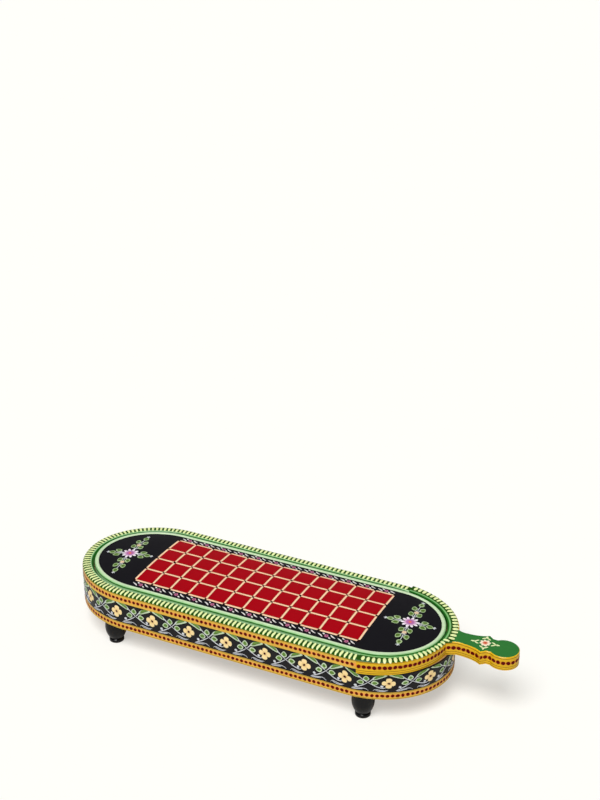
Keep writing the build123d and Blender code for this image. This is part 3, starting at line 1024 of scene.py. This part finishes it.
class PaintSprays(BoxOperator, bpy.types.Operator):
    """Paints the large flower with four leafy branches at each end of the field"""

    bl_idname = "gamebox.paint_sprays"
    bl_label = "Paint end sprays"

    # How far each branch leans, in degrees, from the right one counter-clockwise, left spray first
    TILTS = ((8, 2, 13, 6), (5, 2, 8, 4))

    def execute(self, context):
        spray, vine = context.scene.box_spray, context.scene.box_vine
        green = LeafBrushes(31)
        petals, roots, hearts, blossoms = Brush(36), Brush(37), Brush(38), Brush(39)
        left_x, left_y, right_x, right_y = in_mm(spray, "left_x", "left_y", "right_x", "right_y")
        leaf, petal = in_mm(spray, "leaf", "petal")
        centres = ((left_x, left_y), (right_x, right_y))
        for centre in centres:
            for k in range(spray.petals):
                turn = math.tau * (k + 0.5) / spray.petals
                petals.dab(centre, petal, petal * 0.31, turn, point=1.3, fat=-0.4, high=1.3, segments=14)
                roots.dab(centre, petal * 0.5, petal * 0.12, turn, point=1.2, high=1.7, segments=8)
            hearts.dot(centre, 4.0, high=2.3, segments=10)
        for centre, tilts in zip(centres, self.TILTS):
            for quarter, tilt in enumerate(tilts):
                turn = quarter * math.pi / 2 + math.radians(tilt)
                self.branch(green, blossoms, centre, turn, leaf, quarter % 2 == 1)
        spot = onto_top(surface("playing_panel"))
        green.lay("spray", spot, vine.spray_edge, vine.spray_leaf, "lid", "field_lacquer")
        petal_paint = paint("large_petal_paint", [spray.petal_root, spray.petal_tip], low=0.35, high=0.8)
        lay_paints(
            spot, "lid", "field_lacquer",
            (petals, "large_flower_petals", petal_paint),
            (roots, "large_flower_roots", paint("petal_root_paint", [spray.petal_root])),
            (hearts, "large_flower_hearts", paint("flower_heart_paint", [spray.heart])),
            (blossoms, "spray_blossoms", paint("blossom_paint", [spray.blossom])),
        )
        return {"FINISHED"}

    def branch(self, green, blossoms, centre, turn, leaf, is_long):
        """One branch: pairs of leaves along it, a blossom if it is long, an end leaf and a pale tip."""

        def at(along, across):
            return off(centre, turn, along, across)

        def stem(bends, width, pieces):
            green.stems.line([at(*bend) for bend in bends], width, pieces=pieces)

        pairs = (13.4, 25.6) if is_long else (12.4,)
        end = 35.6 if is_long else 18.8
        for first in pairs:
            for side in (-1, 1):
                green.leaf(at(first, side * 3.0), leaf, leaf * 0.8, turn + side * 0.55, bend=-0.12 * side)
                stem(((first - 2.6, side * 0.2), (first - 0.8, side * 1.2), (first + 0.6, side * 3.2)), 1.0, 4)
        if is_long:
            bud = at(21.4, 0)
            for k in range(5):
                blossoms.dab(bud, 2.9, 2.5, turn + math.tau * k / 5, fat=-0.3, high=1.2, segments=8)
            stem(((9.0, 0.4), (14, -0.6), (19.0, 0)), 0.9, 5)
            stem(((24.2, 0), (30, 0.7), (end + 0.5, 0)), 0.9, 5)
        else:
            stem(((9.2, 1.2), (11, 0.8), (end + 0.4, 0)), 0.9, 5)
            stem(((9.2, -1.4), (12.5, -1.0), (14.5, -1.6)), 0.8, 4)
        green.leaf(at(end, 0), leaf, leaf * 0.78, turn)
        tip = end + leaf - 0.3
        green.stems.dab(at(tip, 0), 3.6, 1.5, turn, point=1.3, segments=8)
        for side in (-1, 1):
            green.stems.dab(at(tip, side * 0.5), 2.8, 1.2, turn + side * 0.6, point=1.3, segments=8)


class PaintRim(BoxOperator, bpy.types.Operator):
    """Paints the row of cream dashes round the rim and round the lid's end"""

    bl_idname = "gamebox.paint_rim"
    bl_label = "Paint rim dashes"

    # Step in which a dash's reach is felt out, and how far the board may have rounded down there
    STEP, ROUNDED = 0.25, 2.4

    def execute(self, context):
        band = context.scene.box_band
        track = case_track()
        dash, width, middle = in_mm(band, "dash", "dash_width", "dash_middle")
        seam = next(way for way in range(int(track.total)) if track.at(way)[0].x > SEAM_X - 0.5)
        count = round(2 * seam * MM / band.dash_pitch)
        case_dashes, lid_dashes = Brush(41), Brush(42)
        for i in range(count):
            way = seam * (2 * (i + 0.5) / count - 1)
            self.stroke(case_dashes, way, middle - dash / 2, middle + dash / 2, width)
        material = paint("dash_cream_paint", [band.dash_cream], 0.4)
        rims = onto_rim(surface(*RIMS), track)
        case_dashes.lay("rim_dashes", rims, material, "case", "green_rim_paint")

        field = Track(from_left_tip(outline("playing_panel", FIELD_LOW.z + 3)))
        on_lid = [way for way in range(int(field.total)) if field.at(way)[0].x > PULL_LOW.x]
        near_seam, far_seam = on_lid[0], on_lid[-1]
        count = round((far_seam - near_seam) * MM / band.end_pitch)
        start, dash, farthest = in_mm(band, "end_start", "end_dash", "end_reach")
        board = surface("pull_board")
        for i in range(count):
            way = near_seam + (far_seam - near_seam) * (i + 0.5) / count
            point, outward = field.at(way)
            aside = Vector((-outward.y, outward.x)) * width / 2
            reach = min(self.reach(board, point + aside * k, outward, start, farthest) for k in (-1, 0, 1))
            self.stroke(lid_dashes, way, -reach, -max(start, reach - dash), width)
        lid_dashes.lay("lid_end_dashes", onto_rim(board, field), material, "lid", "yellow_pull_paint")
        return {"FINISHED"}

    def stroke(self, brush, way, outer, inner, width):
        brush.line([(way, outer), (way, inner)], width, high=1.2, tips=0.45)

    def reach(self, board, point, outward, start, farthest):
        """How far out from the field a dash can reach before the board's edge has rounded down."""
        reach = start
        while reach < farthest:
            spot = (point + outward * (reach + self.STEP)) * MM
            top, _, _, _ = board.ray_cast(Vector((spot.x, spot.y, ABOVE)), DOWN)
            if top is None or top.z < (PULL_HIGH.z - self.ROUNDED) * MM:
                break
            reach += self.STEP
        return reach


def case_track():
    """The case's outline, counted from the left tip round the near side."""
    return Track(from_left_tip(outline("floor_board", FLOOR_HIGH.z - 1)))


def case_side():
    """Side of the case, from the floor board to the rims."""
    return surface("floor_board", *boards("wall_", "channel_rail_", "rim_"))


class PaintDots(BoxOperator, bpy.types.Operator):
    """Paints the rows of dark dots on the yellow bands and on the lid's edge"""

    bl_idname = "gamebox.paint_dots"
    bl_label = "Paint band dots"

    def execute(self, context):
        band = context.scene.box_band
        material = paint("dot_maroon_paint", [band.maroon], 0.5, coat=0.1)
        dot, lid_dot, lid_height = in_mm(band, "dot", "lid_dot", "lid_dots")
        track, edge = case_track(), lid_track()
        count = round(track.total * MM / band.pitch)
        lower, upper, lid = Brush(51), Brush(52), Brush(53)
        low = (FLOOR_LOW.z + band.lower_top / MM) / 2
        high = (band.upper_bottom + band.upper_top) / MM / 2
        for i in range(count):
            way = track.total * (i + 0.5) / count
            self.put(lower, way, low, dot)
            if track.at(way)[0].x < SEAM_X - dot:
                self.put(upper, way, high, dot)
        side = onto_side(case_side(), track)
        lower.lay("lower_band_dots", side, material, "case", "yellow_base_paint")
        upper.lay("upper_band_dots", side, material, "case", "green_rim_paint")

        count = round(edge.total * MM / band.pitch)
        for i in range(count):
            self.put(lid, edge.total * (i + 0.5) / count, lid_height, lid_dot)
        lid.lay("lid_edge_dots", onto_side(surface("pull_board"), edge), material, "lid", "yellow_pull_paint")
        return {"FINISHED"}

    def put(self, brush, way, height, size):
        """One dot, a little above or below its row."""
        brush.dot((way, height + brush.random.uniform(-0.25, 0.25)), size, squareness=0.12)


def lid_track():
    """Outer edge of the lid's end board and handle, from the near seam to the far one."""
    points = outline("pull_board", PULL_HIGH.z - 3.5)[:-1]
    seam = PULL_LOW.x + 0.5
    corners = [i for i, p in enumerate(points) if p.x < seam]
    near = min(corners, key=lambda i: points[i].y)
    far = max(corners, key=lambda i: points[i].y)
    return Track(points[near:far + 1] if near < far else points[near:] + points[:far + 1])


class PaintVine(BoxOperator, bpy.types.Operator):
    """Paints the vine of cream flowers round the black side"""

    bl_idname = "gamebox.paint_vine"
    bl_label = "Paint vine"

    # Stems of a crossing: bends as (along, height), share of the stem's width, and pieces
    STEMS = (
        (((0, 13.5), (3.5, 17), (5, 19.5), (8, 23)), 1.0, 8),
        (((0, 13.5), (-5, 17), (-9.5, 19.8), (-11.5, 24)), 1.0, 8),
        (((0, 13.5), (-5.5, 8.4), (-11, 5.0), (-17.5, 2.0)), 1.0, 10),
        (((0, 13.5), (6, 10), (13, 4.6), (18.5, 5.0), (19.6, 7.2)), 1.0, 10),
        (((-18.5, 1.3), (-10, 2.2), (-4.4, 6.6), (0.8, 1.2)), 0.65, 10),
        (((-17, 0.6), (-9, 2.0), (-5.6, 2.6)), 0.65, 8),
        (((5.8, 1.6), (8.2, 6.4), (12.5, 1.6), (17.5, 1.2), (22.2, 3.0)), 0.65, 10),
        (((8.4, 2.6), (12, 0.6), (17.5, 0.6), (20.5, 1.6)), 0.65, 8),
        (((-11.0, 5.4), (-12.2, 4.4), (-13.6, 5.6)), 0.65, 4),
        (((14.2, 5.6), (15.6, 6.0), (15.4, 7.4)), 0.65, 4),
    )
    BUDS = ((-13.9, 6.8), (15.2, 8.6))
    # Its leaves: foot, length, width, turn, bend, fatness, point and inside's share
    LEAVES = (
        ((4.8, 18.3), 16.6, 5.2, 0.76, -0.34, 0.1, 1.1, 0.78),
        ((-9.4, 19.8), 17.0, 5.2, math.pi - 0.7, 0.34, 0.1, 1.1, 0.78),
        ((-1.9, 15.8), 7.6, 6.8, math.pi / 2 + 0.05, 0.0, 0.25, 1.5),
        ((-4.4, 13.6), 8.2, 6.6, math.pi + 0.2, 0.0, 0.25, 1.5),
        ((3.4, 13.0), 8.2, 6.6, 0.1, 0.0, 0.25, 1.5),
    )

    def execute(self, context):
        vine, band = context.scene.box_vine, context.scene.box_band
        first, petal, stem = in_mm(vine, "first", "petal", "stem")
        track = case_track()
        green = LeafBrushes(61)
        petals, hearts = Brush(66), Brush(67)
        pitch = track.total / vine.flowers
        for i in range(vine.flowers):
            way = first + pitch * i
            self.flower(petals, hearts, way, petal)
            self.crossing(green, way + pitch * 0.535, stem)
        bottom = FLOOR_HIGH.z
        full = band.upper_bottom / MM - bottom
        low = (WALL_HIGH.z - 0.5 - bottom) / full
        side = onto_side(case_side(), track)

        def spot(way, height):
            """The band is lower under the lid's end, and the vine with it."""
            past = (track.at(way % track.total)[0].x - SEAM_X + 14) / 12
            squeeze = 1 - (1 - low) * min(max(past, 0.0), 1.0)
            return side(way, bottom + min(height, full) * squeeze)

        green.lay("vine", spot, vine.leaf_edge, vine.leaf, "case", "black_wall_lacquer")
        petal_paint = paint("vine_petal_paint", [vine.amber, vine.cream], low=0.05, high=0.5)
        lay_paints(
            spot, "case", "black_wall_lacquer",
            (petals, "vine_flowers", petal_paint),
            (hearts, "vine_flower_hearts", paint("vine_heart_paint", [vine.heart])),
        )
        return {"FINISHED"}

    def flower(self, petals, hearts, way, petal):
        at = (way, 13.2)
        for k in range(4):
            turn = math.pi / 2 * k - 0.06
            petals.dab(at, petal, petal * 0.84, turn, fat=-0.34, high=1.2, segments=16, loose=0.06)
        hearts.dot(at, 3.0, squareness=0.15, high=2.0)

    def crossing(self, green, way, width):
        """Two stems that cross between two flowers, with their leaves, buds and curls."""
        for bends, part, pieces in self.STEMS:
            green.stems.line([(way + along, height) for along, height in bends], part * width, pieces=pieces)
        for along, height in self.BUDS:
            green.stems.dot((way + along, height), 3.3, high=1.2)
        for (along, height), *shape in self.LEAVES:
            green.leaf((way + along, height), *shape)


class PaintHandle(BoxOperator, bpy.types.Operator):
    """Paints the flower with four sprigs on the handle"""

    bl_idname = "gamebox.paint_handle"
    bl_label = "Paint handle flower"

    def execute(self, context):
        handle = context.scene.box_handle
        *centre, petal = in_mm(handle, "flower_x", "flower_y", "petal")
        petals, rings, hearts, sprigs = Brush(71), Brush(72), Brush(73), Brush(74)
        for k in range(8):
            turn = math.tau * (k + 0.5) / 8
            petals.dab(centre, petal, petal * 0.5, turn, point=1.3, fat=-0.35, segments=12)
        for k in range(6):
            rings.dab(centre, 2.9, 2.0, math.tau * k / 6, fat=-0.2, high=1.4, segments=8)
        hearts.dot(centre, 2.6, high=1.9)
        for k in range(4):
            turn = k * math.pi / 2 + 0.12
            out, tip, spread = (11.6, 5.6, 0.8) if k % 2 == 0 else (9.8, 4.2, 1.15)
            node = off(centre, turn, out)
            sprigs.dab(node, tip, 2.5, turn, point=1.2, base=0.15, segments=10)
            for side in (-1, 1):
                back = turn + math.pi + side * spread
                sprigs.dab(node, 5.8, 2.0, back, point=1.2, bend=-0.16 * side, segments=10)
        petal_paint = paint("handle_petal_paint", [handle.petal_root, handle.petal_tip], low=0.2, high=0.6)
        lay_paints(
            onto_top(surface("pull_board")), "lid", "yellow_pull_paint",
            (petals, "handle_petals", petal_paint),
            (rings, "handle_petal_roots", paint("handle_root_paint", [handle.petal_root])),
            (hearts, "handle_flower_heart", paint("handle_heart_paint", [handle.heart])),
            (sprigs, "handle_sprigs", paint("handle_sprig_paint", [handle.sprig])),
        )
        return {"FINISHED"}


class SetStage(BoxOperator, bpy.types.Operator):
    """Sets the floor, the light and the camera"""

    bl_idname = "gamebox.set_stage"
    bl_label = "Set stage"

    CAMERA_PLACE = (0.59102, -1.18535, 0.91646)
    CAMERA_TURN = (math.radians(66.0), 0.0, math.radians(26.01))
    SENSOR_WIDTH = 36.0
    LIGHT_FROM = Vector((0.04, -0.5, 0.86))
    FLOOR_REACH = 30.0
    # Floor as it lights the box, and the ceiling that shows in the lacquer
    BOUNCE, CEILING = srgb(225, 224, 221), (0.06, 0.06, 0.065)

    def execute(self, context):
        stage = context.scene.box_stage
        self.floor(stage)
        self.lights(stage)
        self.world(context, stage)
        self.camera(context, stage)
        context.scene.view_settings.view_transform = "Standard"
        return {"FINISHED"}

    def floor(self, stage):
        bm = bmesh.new()
        bmesh.ops.create_grid(bm, x_segments=1, y_segments=1, size=self.FLOOR_REACH)
        mesh = bpy.data.meshes.new("floor")
        bm.to_mesh(mesh)
        bm.free()
        floor = new_object("floor", mesh)
        material, nodes, _, shader = new_material("floor_paper")
        seen = nodes.add("ShaderNodeLightPath").outputs["Is Camera Ray"]
        nodes.link(nodes.mix(seen, self.BOUNCE, stage.floor), shader.inputs["Base Color"])
        shader.inputs["Roughness"].default_value = 0.9
        shader.inputs["Specular IOR Level"].default_value = 0.0
        white = nodes.add("ShaderNodeEmission", {"Color": stage.floor, "Strength": 1.0}).outputs[0]
        part = nodes.math("MULTIPLY", seen, stage.floor_white)
        mixed = nodes.add("ShaderNodeMixShader", {0: part, 1: shader.outputs[0], 2: white}).outputs[0]
        nodes.link(mixed, next(n for n in nodes.tree.nodes if n.type == "OUTPUT_MATERIAL").inputs["Surface"])
        mesh.materials.append(material)

    def lights(self, stage):
        data = bpy.data.lights.new("key", "SUN")
        data.energy = stage.key
        data.angle = stage.softness
        new_object("key", data).rotation_euler = self.LIGHT_FROM.to_track_quat("Z", "Y").to_euler()

    def world(self, context, stage):
        """White to the camera, a pale horizon in reflections, and an even light on everything."""
        world = bpy.data.worlds.new("studio")
        world.use_nodes = True
        world.node_tree.nodes.clear()
        context.scene.world = world
        nodes = Nodes(world.node_tree)
        paths = nodes.add("ShaderNodeLightPath").outputs
        direction = nodes.add("ShaderNodeTexCoord").outputs["Generated"]
        rise = nodes.add("ShaderNodeSeparateXYZ", {0: direction}).outputs["Z"]
        mirrored = nodes.mix(nodes.ramp(rise, 0.05, 0.3), stage.backdrop, self.CEILING)
        shiny = nodes.math("MAXIMUM", paths["Is Glossy Ray"], paths["Is Transmission Ray"])
        even = (stage.fill, stage.fill, stage.fill)
        colours = nodes.mix(paths["Is Camera Ray"], nodes.mix(shiny, even, mirrored), stage.backdrop)
        background = nodes.add("ShaderNodeBackground", {"Color": colours, "Strength": 1.0})
        nodes.link(background.outputs[0], nodes.add("ShaderNodeOutputWorld").inputs["Surface"])

    def camera(self, context, stage):
        data = bpy.data.cameras.new("camera")
        data.lens = stage.lens
        data.sensor_width = self.SENSOR_WIDTH
        camera = new_object("camera", data)
        camera.location = self.CAMERA_PLACE
        camera.rotation_euler = self.CAMERA_TURN
        context.scene.camera = camera


STEPS = (
    FinishCase,
    FinishFeet,
    FinishLid,
    FinishPlayingPieces,
    PaintSquares,
    PaintBorder,
    PaintSprays,
    PaintRim,
    PaintDots,
    PaintVine,
    PaintHandle,
    SetStage,
)


class BoxPanel(bpy.types.Panel):
    """Lists the steps of the painting and the sizes and colours they use"""

    bl_idname = "VIEW3D_PT_game_box"
    bl_label = "Game Box"
    bl_space_type = "VIEW_3D"
    bl_region_type = "UI"
    bl_category = "Game Box"

    def draw(self, context):
        for step in STEPS:
            self.layout.operator(step.bl_idname)
        for name in SETTINGS:
            settings = getattr(context.scene, name)
            column = self.layout.box().column()
            for key in settings.__annotations__:
                column.prop(settings, key)


def register():
    for name, group in SETTINGS.items():
        bpy.utils.register_class(group)
        setattr(bpy.types.Scene, name, PointerProperty(type=group))
    for kind in (*STEPS, BoxPanel):
        bpy.utils.register_class(kind)


def unregister():
    for kind in reversed((*STEPS, BoxPanel)):
        bpy.utils.unregister_class(kind)
    for name, group in SETTINGS.items():
        delattr(bpy.types.Scene, name)
        bpy.utils.unregister_class(group)


def main():
    """Runs every step in order."""
    register()
    for step in STEPS:
        area, action = step.bl_idname.split(".")
        getattr(getattr(bpy.ops, area), action)()


if __name__ == "__main__":
    main()
